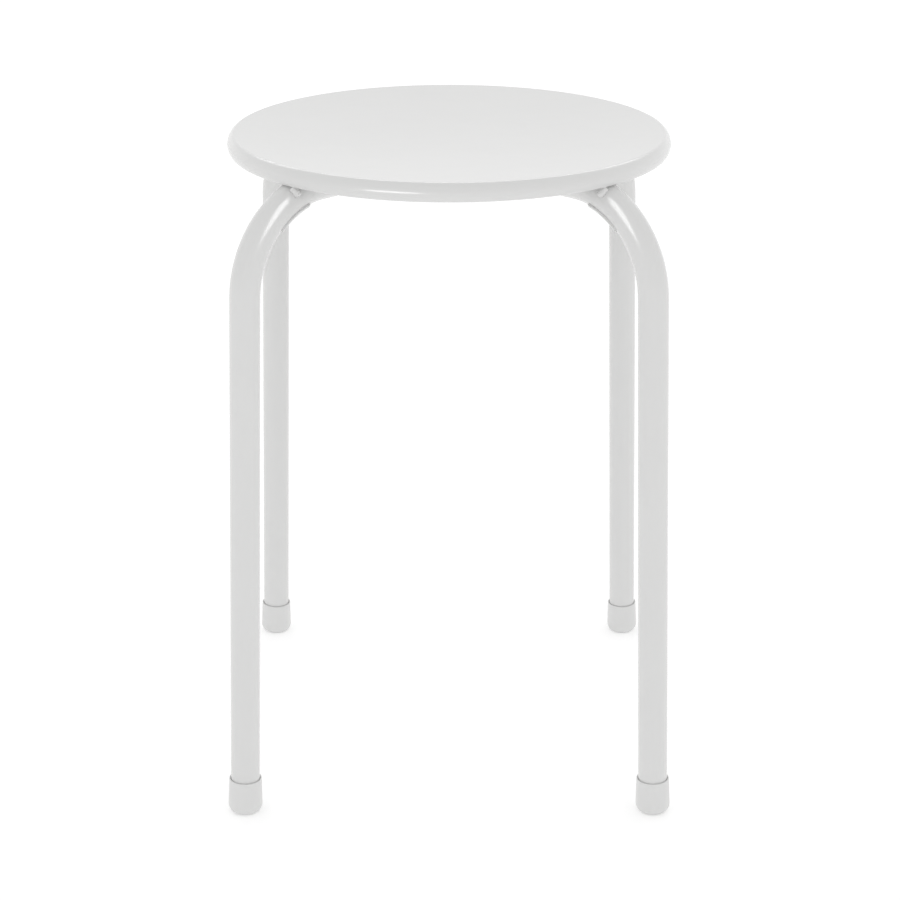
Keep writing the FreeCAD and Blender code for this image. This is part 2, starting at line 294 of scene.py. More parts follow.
class StoolPlan:
    """The stool's sizes, with the circles and levels that follow from them."""

    def __init__(self, scene):
        self.seat, self.legs, self.caps = scene.stool_seat, scene.stool_legs, scene.stool_caps
        self.pads, self.welds = scene.stool_pads, scene.stool_welds
        seat, legs, pads = self.seat, self.legs, self.pads
        self.rim_centre = plane_point(seat.diameter / 2 - seat.roll_radius, seat.height - seat.widest_drop)
        crest_rise = seat.widest_drop - seat.crest_radius
        crest_offset = math.sqrt((seat.roll_radius - seat.crest_radius) ** 2 - crest_rise ** 2)
        self.crest_centre = plane_point(self.rim_centre.x + crest_offset, seat.height - seat.crest_radius)
        reach = self.crest_centre.x
        self.dish_radius = (reach ** 2 + seat.dish_depth ** 2) / (2 * seat.dish_depth) - seat.crest_radius
        self.dish_centre = plane_point(0, seat.height - seat.dish_depth + self.dish_radius)
        self.hem_circle = seat.roll_radius - seat.sheet
        hem_drop = seat.rim_depth - seat.widest_drop - seat.sheet
        self.hem_angle = -math.asin(hem_drop / self.hem_circle)
        self.hem_centre = point_on_circle(self.rim_centre, self.hem_circle, self.hem_angle)

        self.tube_radius = legs.tube_diameter / 2
        self.bore_radius = self.tube_radius - legs.tube_wall
        self.tube_level = seat.height - seat.dish_depth - seat.sheet - legs.pan_gap - self.tube_radius
        bend_level = self.tube_level - legs.bend_radius
        hem_to_bend = legs.bend_radius + self.tube_radius + legs.rim_gap + seat.sheet
        bend_reach = math.sqrt(hem_to_bend ** 2 - (self.hem_centre.z - bend_level) ** 2)
        self.bend_centre = plane_point(self.hem_centre.x - bend_reach, bend_level)
        self.leg_top = point_on_circle(self.bend_centre, legs.bend_radius, legs.lean)
        self.leg_direction = plane_point(-math.sin(legs.lean), math.cos(legs.lean))
        self.foot_radius = self.leg_top.x + self.leg_top.z * math.tan(legs.lean)
        self.tube_foot = plane_point(self.foot_radius, 0) + self.leg_direction * self.caps.floor

        self.pad_circle = legs.bend_radius - self.tube_radius - pads.thickness
        rim_from_bend = self.rim_centre.x - self.bend_centre.x
        rim_rise = math.sqrt((self.pad_circle - seat.roll_radius) ** 2 - rim_from_bend ** 2)
        self.pad_middle = math.atan2(rim_rise, rim_from_bend) + pads.lift
        half_step = pads.peg_step / 2 / legs.bend_radius
        self.peg_angles = (self.pad_middle - half_step, self.pad_middle + half_step)


# Modelling steps that several pieces share.


def deselect_all():
    bpy.ops.object.select_all(action="DESELECT")


def pick(piece):
    """Makes one piece the selected and active one."""
    deselect_all()
    piece.select_set(True)
    bpy.context.view_layer.objects.active = piece


def draw_line(name, points):
    """Draws a line by extruding one vertex from point to point, and stays in edit mode."""
    deselect_all()
    bpy.ops.mesh.primitive_plane_add(size=MERGE_DISTANCE)
    piece = bpy.context.object
    piece.name = name
    bpy.ops.object.mode_set(mode="EDIT")
    bpy.ops.mesh.merge(type="CENTER")
    bpy.ops.transform.translate(value=points[0])
    for here, there in zip(points, points[1:]):
        bpy.ops.mesh.extrude_region_move(TRANSFORM_OT_translate={"value": there - here})
    return piece


def close_skin():
    """Merges what meets, turns the faces outwards and leaves edit mode."""
    bpy.ops.mesh.select_all(action="SELECT")
    bpy.ops.mesh.remove_doubles(threshold=MERGE_DISTANCE)
    bpy.ops.mesh.normals_make_consistent(inside=False)
    bpy.ops.object.mode_set(mode="OBJECT")


def turn_profile(name, points, facets):
    """Turns a profile of the leg's plane about the upright axis to a closed skin."""
    piece = draw_line(name, points)
    bpy.ops.mesh.select_all(action="SELECT")
    bpy.ops.mesh.spin(steps=facets, angle=FULL_TURN, center=(0, 0, 0), axis=(0, 0, 1))
    close_skin()
    return piece


def place(piece, location=(0, 0, 0), rotation=(0, 0, 0)):
    """Moves and turns a piece and keeps its object at the origin."""
    pick(piece)
    piece.location = location
    piece.rotation_euler = rotation
    bpy.ops.object.transform_apply(location=True, rotation=True, scale=True)


def apply_modifier(piece, name, kind, **values):
    """Adds a modifier with the given values and applies it."""
    pick(piece)
    modifier = piece.modifiers.new(name, kind)
    for key, value in values.items():
        setattr(modifier, key, value)
    bpy.ops.object.modifier_apply(modifier=modifier.name)


def cut_by(piece, cutter, operation="DIFFERENCE"):
    """Cuts one closed skin from another, or joins it to it."""
    apply_modifier(piece, "Cut", "BOOLEAN", object=cutter, operation=operation, solver="MANIFOLD")


def cut_away(piece, cutter, operation="DIFFERENCE"):
    """Cuts one closed skin from another, or joins it to it, and removes the second."""
    cut_by(piece, cutter, operation)
    bpy.data.objects.remove(cutter)


def edit_whole(piece):
    """Opens a piece in edit mode with all of it selected."""
    pick(piece)
    bpy.ops.object.mode_set(mode="EDIT")
    bpy.ops.mesh.select_all(action="SELECT")


def keep_side(piece, normal):
    """Cuts a closed skin at a plane through the origin and keeps the side that the normal points to."""
    edit_whole(piece)
    bpy.ops.mesh.bisect(
        plane_co=(0, 0, 0), plane_no=normal, use_fill=True, clear_inner=True, threshold=MERGE_DISTANCE)
    close_skin()


def smooth(piece):
    pick(piece)
    bpy.ops.object.shade_smooth_by_angle(angle=SHARP_ANGLE)


def leg_angle(leg):
    return FIRST_LEG_ANGLE + LEGS.index(leg) * FULL_TURN / len(LEGS)


def finish_piece(piece, node, material):
    """Gives a finished piece its material and its body, and hides the frame's node that it stands for."""
    piece.data.materials.clear()
    piece.data.materials.append(material)
    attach(piece, "root")
    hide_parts(node)


def repeat_round(model, prefix, node_prefix, legs, material):
    """Copies a piece modelled in the leg's plane to each of the legs and removes the model."""
    for leg in legs:
        pick(model)
        bpy.ops.object.duplicate(linked=False)
        twin = bpy.context.object
        twin.name = prefix + leg
        place(twin, rotation=(0, 0, leg_angle(leg)))
        finish_piece(twin, node_prefix + leg, material)
    bpy.data.objects.remove(model)


# Materials


def texture_group(name, inputs, output, kind):
    """A shader node group that takes a place and named values and gives one value or colour."""
    group = bpy.data.node_groups.new(name, "ShaderNodeTree")
    sockets = group.interface
    sockets.new_socket(name="Vector", in_out="INPUT", socket_type="NodeSocketVector")
    for label, default in inputs.items():
        input_kind = "NodeSocketFloat" if isinstance(default, float) else "NodeSocketColor"
        socket = sockets.new_socket(name=label, in_out="INPUT", socket_type=input_kind)
        socket.default_value = default
    sockets.new_socket(name=output, in_out="OUTPUT", socket_type=kind)
    return group, group.nodes.new("NodeGroupInput"), group.nodes.new("NodeGroupOutput")


def add_node(tree, kind, values, **settings):
    """Adds a node with its settings, and links or sets each of the given inputs."""
    node = tree.nodes.new("ShaderNode" + kind)
    for key, setting in settings.items():
        setattr(node, key, setting)
    for label, value in values.items():
        if isinstance(value, bpy.types.NodeSocket):
            tree.links.new(value, node.inputs[label])
        else:
            node.inputs[label].default_value = value
    return node


def math_node(tree, operation, first, second):
    return add_node(tree, "Math", {0: first, 1: second}, operation=operation).outputs["Value"]


def map_node(tree, value, low, high, to_low, to_high):
    """Maps a value from one range to another, whose ends are numbers or sockets."""
    ends = {"Value": value, "From Min": low, "From Max": high, "To Min": to_low, "To Max": to_high}
    return add_node(tree, "MapRange", ends).outputs["Result"]


def noise_value(tree, start, scale, detail, roughness=0.5):
    """The value of a noise in a node group, with its scale from the named input of the group."""
    return add_node(tree, "TexNoise", {
        "Vector": start.outputs["Vector"], "Scale": start.outputs[scale],
        "Detail": detail, "Roughness": roughness,
    }).outputs["Fac"]


def orange_peel(name):
    """The shallow cells that a sprayed or cured coat settles into."""
    group, start, end = texture_group(name, {"Cells per metre": 500.0}, "Height", "NodeSocketFloat")
    cells = add_node(group, "TexVoronoi", {
        "Vector": start.outputs["Vector"], "Scale": start.outputs["Cells per metre"], "Smoothness": 1.0,
    }, feature="SMOOTH_F1")
    waves = noise_value(group, start, "Cells per metre", detail=1.0)
    group.links.new(math_node(group, "ADD", waves, cells.outputs["Distance"]), end.inputs["Height"])
    return group


def drift(group, start, middle, detail, roughness=0.5):
    """Wide patches of a value that lies up to the group's amount above or below its middle."""
    patches = noise_value(group, start, "Patches per metre", detail, roughness)
    least = math_node(group, "SUBTRACT", middle, start.outputs["Amount"])
    most = math_node(group, "ADD", middle, start.outputs["Amount"])
    return map_node(group, patches, NOISE_LOW, NOISE_HIGH, least, most)


def tone_drift(name):
    """Small changes of tone over a hand's width, as a coat's thickness varies."""
    inputs = {"Colour": (0.8, 0.8, 0.8, 1), "Patches per metre": 20.0, "Amount": 0.02}
    group, start, end = texture_group(name, inputs, "Colour", "NodeSocketColor")
    tone = drift(group, start, 1.0, detail=3.0)
    scaled = add_node(group, "VectorMath", {0: start.outputs["Colour"], "Scale": tone}, operation="SCALE")
    group.links.new(scaled.outputs["Vector"], end.inputs["Colour"])
    return group


def gloss_drift(name):
    """Small changes of gloss over a hand's width, where a surface cured or wore unevenly."""
    inputs = {"Roughness": 0.4, "Patches per metre": 30.0, "Amount": 0.03}
    group, start, end = texture_group(name, inputs, "Roughness", "NodeSocketFloat")
    gloss = drift(group, start, start.outputs["Roughness"], detail=4.0, roughness=0.6)
    group.links.new(gloss, end.inputs["Roughness"])
    return group


def surface_material(name, colour, roughness, cells, peel_height, tone_amount, gloss_amount):
    """A coated or moulded white surface with its peel, its drift of tone and its drift of gloss.
    The materials share the three node groups, which are built when they are first needed."""
    found = bpy.data.materials.get(name)
    if found:
        return found
    material = bpy.data.materials.new(name)
    material.use_nodes = True
    tree = material.node_tree
    shader = tree.nodes["Principled BSDF"]
    place_of = tree.nodes.new("ShaderNodeTexCoord").outputs["Object"]
    bump = add_node(tree, "Bump", {"Distance": peel_height})
    tree.links.new(bump.outputs["Normal"], shader.inputs["Normal"])
    for label, build, values, output, fed in (
        ("Orange peel", orange_peel, {"Cells per metre": cells}, "Height", bump.inputs["Height"]),
        ("Tone drift", tone_drift, {"Colour": (*colour, 1), "Amount": tone_amount},
         "Colour", shader.inputs["Base Color"]),
        ("Gloss drift", gloss_drift, {"Roughness": roughness, "Amount": gloss_amount},
         "Roughness", shader.inputs["Roughness"]),
    ):
        group = bpy.data.node_groups.get(label) or build(label)
        node = add_node(tree, "Group", {"Vector": place_of, **values}, node_tree=group)
        tree.links.new(node.outputs[output], fed)
    return material


def powder_coat(finish):
    """White satin powder coat on the steel."""
    return surface_material("White powder coat", finish.paint, finish.paint_roughness,
                            cells=420.0, peel_height=0.000003, tone_amount=0.006, gloss_amount=0.02)


def coat_over_weld(finish):
    """The same coat where it lies thicker over the weld metal."""
    return surface_material("Powder coat over weld", finish.paint, finish.paint_roughness + 0.05,
                            cells=900.0, peel_height=0.00003, tone_amount=0.012, gloss_amount=0.03)


def moulded_plastic(finish):
    """White moulded plastic with a fine mould grain."""
    return surface_material("Moulded white plastic", finish.plastic, finish.plastic_roughness,
                            cells=1600.0, peel_height=0.00001, tone_amount=0.006, gloss_amount=0.02)


# Pieces


def hem_outline(plan):
    """The folded edge of the rim, from the rim's outside round to the inside of its sheet."""
    sheet = plan.seat.sheet
    folded = plan.hem_circle - sheet
    hem_top = plan.hem_angle + plan.seat.hem_length / folded
    raw_edge = point_on_circle(plan.rim_centre, plan.hem_circle - sheet / 2, hem_top)
    return chain(
        arc_points(plan.hem_centre, sheet, plan.hem_angle, plan.hem_angle - math.pi, steps=10),
        arc_points(plan.rim_centre, folded, plan.hem_angle, hem_top, steps=8),
        arc_points(raw_edge, sheet / 2, hem_top + math.pi, hem_top, steps=6),
    ), hem_top


def seat_outline(plan):
    """The pan's section from the middle of the dish over the rim and back under the dish."""
    seat = plan.seat
    dish_edge = direction_angle(plan.dish_centre, plan.crest_centre)
    crest_inside = dish_edge + math.pi
    crest_outside = direction_angle(plan.rim_centre, plan.crest_centre)
    hem, hem_top = hem_outline(plan)
    under_dish, under_crest = plan.dish_radius + seat.sheet, seat.crest_radius - seat.sheet
    return chain(
        arc_points(plan.dish_centre, plan.dish_radius, -RIGHT_ANGLE, dish_edge, steps=26, ease=slow_end),
        arc_points(plan.crest_centre, seat.crest_radius, crest_inside, crest_outside, steps=10),
        arc_points(plan.rim_centre, seat.roll_radius, crest_outside, plan.hem_angle, steps=26),
        hem,
        arc_points(plan.rim_centre, plan.hem_circle, hem_top, crest_outside, steps=16),
        arc_points(plan.crest_centre, under_crest, crest_outside, crest_inside, steps=5),
        arc_points(plan.dish_centre, under_dish, dish_edge, -RIGHT_ANGLE, steps=26, ease=slow_start),
    )


class STOOL_OT_seat_pan(bpy.types.Operator):
    """Models the pressed seat pan with its dish, crest, rolled rim and folded hem"""

    bl_idname = "stool.seat_pan"
    bl_label = "Seat Pan"

    def execute(self, context):
        plan = StoolPlan(context.scene)
        pan = turn_profile("pressed_seat", seat_outline(plan), plan.seat.facets)
        smooth(pan)
        finish_piece(pan, "seat_pan", powder_coat(context.scene.stool_finish))
        return {"FINISHED"}


def extrude_run(run, steps, ease):
    """Extrudes the selected ring along a straight run in several steps."""
    done = 0
    for step in range(1, steps + 1):
        share = ease(step / steps)
        bpy.ops.mesh.extrude_region_move(TRANSFORM_OT_translate={"value": run * (share - done)})
        done = share


def swept_rod(name, plan, through):
    """Sweeps a ring from the foot up the leg, round the bend and along the level run, which for
    the through tube goes on to the other foot."""
    legs = plan.legs
    deselect_all()
    bpy.ops.mesh.primitive_circle_add(
        vertices=legs.facets, radius=plan.tube_radius, location=plan.tube_foot, rotation=(0, -legs.lean, 0))
    rod = bpy.context.object
    rod.name = name
    bpy.ops.object.transform_apply(location=True, rotation=True, scale=True)
    bend = {"steps": 40, "angle": RIGHT_ANGLE - legs.lean, "axis": BEND_AXIS}
    bpy.ops.object.mode_set(mode="EDIT")
    bpy.ops.mesh.select_all(action="SELECT")
    leg_run = plan.leg_top - plan.tube_foot
    extrude_run(leg_run, steps=9, ease=slow_end)
    bpy.ops.mesh.spin(center=plan.bend_centre, **bend)
    if through:
        extrude_run(plane_point(-2 * plan.bend_centre.x, 0), steps=16, ease=slow_both)
        bpy.ops.mesh.spin(center=plane_point(-plan.bend_centre.x, plan.bend_centre.z), **bend)
        extrude_run(plane_point(leg_run.x, -leg_run.z), steps=9, ease=slow_start)
    else:
        extrude_run(plane_point(-plan.bend_centre.x, 0), steps=10, ease=slow_start)
    close_skin()
    return rod


def upright_cylinder(name, radius, length, facets):
    """A closed cylinder from the origin upwards, as a cutting tool."""
    return turn_profile(name, [
        Vector((0, 0, 0)), Vector((radius, 0, 0)), Vector((radius, 0, length)), Vector((0, 0, length)),
    ], facets)


def drill_peg_holes(tube, plan, half_turns):
    """Drills the two holes for the pad's pegs into each bend."""
    pads = plan.pads
    for turn in half_turns:
        for angle in plan.peg_angles:
            radius = pads.peg_diameter / 2 + pads.peg_clearance
            drill = upright_cylinder("drill", radius, plan.tube_radius, PEG_FACETS)
            start = point_on_circle(plan.bend_centre, plan.pad_circle, angle)
            place(drill, location=start, rotation=(0, RIGHT_ANGLE - angle, 0))
            place(drill, rotation=(0, 0, turn))
            cut_away(tube, drill)


def cross_run(radius, reach, plan):
    """A closed cylinder where the through tube's level run crosses the leg's plane."""
    cylinder = upright_cylinder("cross", radius, 2 * reach, plan.legs.facets)
    place(cylinder, location=(0, reach, plan.tube_level), rotation=(RIGHT_ANGLE, 0, 0))
    return cylinder


def cope_end(tube, plan):
    """Cuts a side tube's end to saddle the through tube."""
    radius = plan.tube_radius + plan.legs.cope_gap
    cut_away(tube, cross_run(radius, 2 * radius, plan))


def leg_tube(name, plan, through):
    """A tube with its wall and its peg holes, and with a coped end if it is a side tube."""
    tube = swept_rod(name, plan, through)
    apply_modifier(tube, "Wall", "SOLIDIFY", thickness=plan.legs.tube_wall, offset=-1, use_even_offset=True)
    if not through:
        cope_end(tube, plan)
    drill_peg_holes(tube, plan, (0, math.pi) if through else (0,))
    smooth(tube)
    return tube


class STOOL_OT_leg_tubes(bpy.types.Operator):
    """Models the through tube and the two coped side tubes"""

    bl_idname = "stool.leg_tubes"
    bl_label = "Leg Tubes"

    def execute(self, context):
        plan = StoolPlan(context.scene)
        coat = powder_coat(context.scene.stool_finish)
        through = leg_tube("through_leg", plan, through=True)
        place(through, rotation=(0, 0, FIRST_LEG_ANGLE))
        finish_piece(through, "through_leg_tube", coat)
        side = leg_tube("side_leg", plan, through=False)
        repeat_round(side, "side_leg_", "side_leg_tube_", SIDE_LEGS, coat)
        return {"FINISHED"}


def cap_outline(plan):
    """A cap's section from the middle of its base up to its lip and down inside to its floor."""
    caps = plan.caps
    base_radius, top_radius = caps.base_diameter / 2, caps.top_diameter / 2
    bore = plan.tube_radius + caps.clearance
    mouth = bore + caps.lip_gap
    lip_radius = (top_radius - mouth) / 2
    edge_centre = plane_point(base_radius - caps.edge_radius, caps.edge_radius - caps.crown)
    lip_centre = plane_point((top_radius + mouth) / 2, caps.height - lip_radius)
    side_low = plane_point(base_radius, edge_centre.z)
    side_high = plane_point(top_radius, lip_centre.z)
    return (
        [plane_point(0, -caps.crown)]
        + arc_points(edge_centre, caps.edge_radius, -RIGHT_ANGLE, 0, steps=16)
        + [side_low.lerp(side_high, share) for share in CAP_SIDE_RINGS]
        + arc_points(lip_centre, lip_radius, 0, math.pi, steps=10)
        + [
            plane_point(bore, caps.height - caps.lip_depth - lip_radius),
            plane_point(bore, caps.floor),
            plane_point(0, caps.floor),
        ]
    )


class STOOL_OT_foot_caps(bpy.types.Operator):
    """Models the four foot caps, turned about their leaning legs and cut level at the floor"""

    bl_idname = "stool.foot_caps"
    bl_label = "Foot Caps"

    def execute(self, context):
        plan = StoolPlan(context.scene)
        plastic = moulded_plastic(context.scene.stool_finish)
        cap = turn_profile("cap", cap_outline(plan), plan.caps.facets)
        place(cap, location=(plan.foot_radius, 0, 0), rotation=(0, -plan.legs.lean, 0))
        keep_side(cap, (0, 0, 1))
        smooth(cap)
        repeat_round(cap, "cap_", "foot_cap_", LEGS, plastic)
        return {"FINISHED"}


def saddle_section(plan, angle):
    """The closed section of a saddle pad, across the bend at the given angle."""
    pads = plan.pads
    inner = plan.tube_radius + pads.clearance
    outer = plan.tube_radius + pads.thickness
    corner = outer - pads.edge_radius
    corner_turn = pads.wrap - pads.edge_radius / corner

    def across(radius, turn):
        from_centre = plan.legs.bend_radius - radius * math.cos(turn)
        point = point_on_circle(plan.bend_centre, from_centre, angle)
        point.y = radius * math.sin(turn)
        return point

    def rounded_edge(side):
        turns = [RIGHT_ANGLE * step / PAD_EDGE_STEPS for step in range(PAD_EDGE_STEPS + 1)]
        return [
            across(corner + pads.edge_radius * math.cos(t),
                   side * (corner_turn + pads.edge_radius * math.sin(t) / corner))
            for t in turns
        ]

    whole = range(-PAD_WRAP_STEPS, PAD_WRAP_STEPS + 1)
    return (
        [across(outer, corner_turn * step / PAD_WRAP_STEPS) for step in whole[1:-1]]
        + rounded_edge(1)
        + [across(inner, -pads.wrap * step / PAD_WRAP_STEPS) for step in whole]
        + rounded_edge(-1)[::-1]
    )


def select_edges(piece, test):
    """Selects the edges whose middle passes the test."""
    bpy.ops.mesh.select_all(action="DESELECT")
    bpy.ops.object.mode_set(mode="OBJECT")
    vertices = piece.data.vertices
    for edge in piece.data.edges:
        edge.select = test(sum((vertices[i].co for i in edge.vertices), Vector()) / 2)
    bpy.ops.object.mode_set(mode="EDIT")


def pad_saddle(name, plan):
    """Spins the saddle's section along the bend, closes its ends and rounds their edges."""
    pads = plan.pads
    sweep = pads.length / plan.legs.bend_radius
    low, high = plan.pad_middle - sweep / 2, plan.pad_middle + sweep / 2
    saddle = draw_line(name, saddle_section(plan, low))
    bpy.ops.mesh.select_all(action="SELECT")
    bpy.ops.mesh.edge_face_add()
    bpy.ops.mesh.delete(type="ONLY_FACE")
    bpy.ops.mesh.select_all(action="SELECT")
    bpy.ops.mesh.spin(steps=18, angle=sweep, center=plan.bend_centre, axis=BEND_AXIS)
    bpy.context.tool_settings.mesh_select_mode = (False, True, False)
    for end in (low, high):
        def at_end(middle):
            return abs(direction_angle(plan.bend_centre, middle) - end) < ANGLE_TOLERANCE

        select_edges(saddle, at_end)
        bpy.ops.mesh.edge_face_add()
        bpy.ops.mesh.bevel(offset=pads.end_bevel, segments=3, affect="EDGES")
    bpy.context.tool_settings.mesh_select_mode = (True, False, False)
    close_skin()
    return saddle


def peg(name, plan, angle):
    """A peg with a barbed head, from inside the saddle through the tube's wall."""
    pads = plan.pads
    root = plan.pad_circle + pads.thickness / 2
    neck_end = plan.legs.bend_radius - plan.bore_radius + pads.neck - root
    tip = neck_end + pads.head_length
    profile = [
        plane_point(0, 0),
        plane_point(pads.peg_diameter / 2, 0),
        plane_point(pads.peg_diameter / 2, neck_end),
        plane_point(pads.head_diameter / 2, neck_end),
        plane_point(pads.tip_diameter / 2, tip),
        plane_point(0, tip),
    ]
    pin = turn_profile(name, profile, PEG_FACETS)
    place(pin, location=point_on_circle(plan.bend_centre, root, angle), rotation=(0, RIGHT_ANGLE - angle, 0))
    return pin


class STOOL_OT_stacking_pads(bpy.types.Operator):
    """Models the saddle pads inside the bends, each with its two pegs"""

    bl_idname = "stool.stacking_pads"
    bl_label = "Stacking Pads"

    def execute(self, context):
        plan = StoolPlan(context.scene)
        plastic = moulded_plastic(context.scene.stool_finish)
        pad = pad_saddle("pad", plan)
        for angle in plan.peg_angles:
            cut_away(pad, peg("pin", plan, angle), operation="UNION")
        smooth(pad)
        repeat_round(pad, "pad_", "stacking_pad_", LEGS, plastic)
        return {"FINISHED"}


def weld_run(name, path, radius, skin):
    """Lays overlapping rounds of weld metal along a path and skins them as one rippled bead."""
    deselect_all()
    rounds = []
    for index, (point, direction) in enumerate(path):
        wander = WANDER * math.sin(WANDER_TURN * index + 1)
        bpy.ops.mesh.primitive_uv_sphere_add(
            segments=16, ring_count=10, radius=radius * (1 + wander), location=point,
            rotation=direction.to_track_quat("Z", "Y").to_euler(), scale=(1, 1, ROUND_FLATNESS))
        rounds.append(bpy.context.object)
    for ball in rounds:
        ball.select_set(True)
    bpy.ops.object.join()
    run = bpy.context.object
    run.name = name
    bpy.ops.object.transform_apply(location=True, rotation=True, scale=True)
    apply_modifier(run, "Skin", "REMESH", mode="VOXEL", voxel_size=skin)
    apply_modifier(run, "Settle", "SMOOTH", factor=0.5, iterations=3)
    return run


def straight_path(start, end, step):
    """Points and directions along a straight run."""
    run = end - start
    count = max(2, round(run.length / step))
    return [(start.lerp(end, index / count), run.normalized()) for index in range(count + 1)]


def fill_ends(piece):
    """Closes each open end of a swept skin with a face."""
    edit_whole(piece)
    bpy.ops.mesh.fill_holes(sides=0)
    close_skin()


def keep_largest(piece):
    """Keeps only the largest loose part of a mesh."""
    edit_whole(piece)
    bpy.ops.mesh.separate(type="LOOSE")
    bpy.ops.object.mode_set(mode="OBJECT")
    parts = sorted(bpy.context.selected_objects, key=lambda part: len(part.data.vertices))
    largest = parts.pop()
    for part in parts:
        bpy.data.objects.remove(part)
    return largest


def fitted_bead(path, radius, plan, neighbours):
    """A bead cut to its neighbours."""
    bead = weld_run("bead", path, radius, plan.welds.skin)
    for neighbour in neighbours:
        cut_by(bead, neighbour)
    return keep_largest(bead)


def path_round_tube(plan, angle, turns, radius):
    """Points and directions of a bead that runs round the outside of the tube at a place of the bend."""
    start, end = turns
    from_axis = plan.tube_radius + radius / 2
    count = max(2, round(abs(end - start) * from_axis / plan.welds.ripple_step))
    path = []
    for index in range(count + 1):
        turn = start + (end - start) * index / count
        from_bend = plan.legs.bend_radius + from_axis * math.cos(turn)
        beside = Vector((0, from_axis * math.sin(turn), 0))
        direction = point_on_circle(Vector((0, math.cos(turn), 0)), -math.sin(turn), angle)
        path.append((point_on_circle(plan.bend_centre, from_bend, angle) + beside, direction))
    return path


def rim_beads(plan, neighbours, full_side):
    """The two beads that join a bend to the hem: a full one beside the tube, and on the other
    side a finer one behind the hem."""
    welds = plan.welds
    hem_at = direction_angle(plan.bend_centre, plan.hem_centre)
    behind_hem = hem_at + welds.fine_inset / plan.legs.bend_radius
    beads = []
    for radius, angle, turns in (
        (welds.rim_radius, hem_at, (full_side * welds.rim_start, full_side * welds.rim_end)),
        (welds.fine_radius, behind_hem, (-full_side * welds.fine_start, -full_side * welds.fine_end)),
    ):
        path = path_round_tube(plan, angle, turns, radius)
        beads.append(fitted_bead(path, radius, plan, neighbours))
    pick(beads[0])
    beads[1].select_set(True)
    bpy.ops.object.join()
    return bpy.context.object


def pan_beads(plan, neighbours):
    """The two beads that join a level run to the dish, one each side of the tube."""
    welds = plan.welds
    height = plan.tube_level + plan.tube_radius * math.cos(welds.pan_side) + welds.pan_radius / 2
    start = Vector((welds.pan_start, plan.tube_radius * math.sin(welds.pan_side), height))
    end = start + plane_point(welds.pan_length, 0)
    bead = fitted_bead(straight_path(start, end, welds.ripple_step), welds.pan_radius, plan, neighbours)
    apply_modifier(bead, "Other side", "MIRROR", use_axis=(False, True, False))
    return bead


def centre_bead(plan, rod):
    """The bead along both halves of the coped joint, from side to side under the tube."""
    welds = plan.welds
    radius = plan.tube_radius
    limit = math.pi - welds.centre_top
    seam_length = 2 * limit * radius * SEAM_STRETCH
    count = round(seam_length / welds.ripple_step)
    path = []
    for index in range(count + 1):
        turn = limit * (2 * index / count - 1)
        sine, cosine = math.sin(turn), math.cos(turn)
        point = Vector((radius * abs(sine), radius * sine, plan.tube_level - radius * cosine))
        direction = Vector((math.copysign(cosine, turn), cosine, sine))
        path.append((point, direction.normalized()))
    bead = weld_run("bead", path, welds.centre_radius, welds.skin)
    cut_by(bead, rod)
    cut_away(bead, cross_run(radius, 4 * radius, plan))
    bead = keep_largest(bead)
    keep_side(bead, (1, 0, 0))
    return bead


class STOOL_OT_weld_beads(bpy.types.Operator):
    """Models the rippled weld beads at the hem, under the dish and at the coped joint"""

    bl_idname = "stool.weld_beads"
    bl_label = "Weld Beads"

    def execute(self, context):
        plan = StoolPlan(context.scene)
        coat = coat_over_weld(context.scene.stool_finish)
        rod = swept_rod("rod", plan, through=False)
        fill_ends(rod)
        pan = turn_profile("pan", seat_outline(plan), CUTTER_FACETS)
        for model, prefix, node_prefix, legs in (
            (rim_beads(plan, (rod, pan), 1), "rim_bead_", "rim_weld_", THROUGH_LEGS),
            (rim_beads(plan, (rod, pan), -1), "rim_bead_", "rim_weld_", SIDE_LEGS),
            (pan_beads(plan, (rod, pan)), "pan_bead_", "pan_weld_", LEGS),
            (centre_bead(plan, rod), "centre_bead_", "centre_weld_", SIDE_LEGS),
        ):
            smooth(model)
            repeat_round(model, prefix, node_prefix, legs, coat)
        bpy.data.objects.remove(rod)
        bpy.data.objects.remove(pan)
        return {"FINISHED"}


def floor_material(colour):
    """A pale floor that shows white where no shadow falls and is clear from below."""
    material = bpy.data.materials.new("Pale floor")
    material.use_nodes = True
    tree = material.node_tree
    sockets = tree.nodes["Principled BSDF"].inputs
    sockets["Base Color"].default_value = (*colour, 1)
    sockets["Roughness"].default_value = 1.0
    sockets["Specular IOR Level"].default_value = 0.0
    sockets["Emission Color"].default_value = (1, 1, 1, 1)
    sockets["Emission Strength"].default_value = FLOOR_LIFT
    seen = tree.nodes.new("ShaderNodeLightPath")
    side = tree.nodes.new("ShaderNodeNewGeometry")
    from_below = math_node(tree, "MULTIPLY", side.outputs["Backfacing"], seen.outputs["Is Camera Ray"])
    tree.links.new(math_node(tree, "SUBTRACT", 1.0, from_below), sockets["Alpha"])
    return material


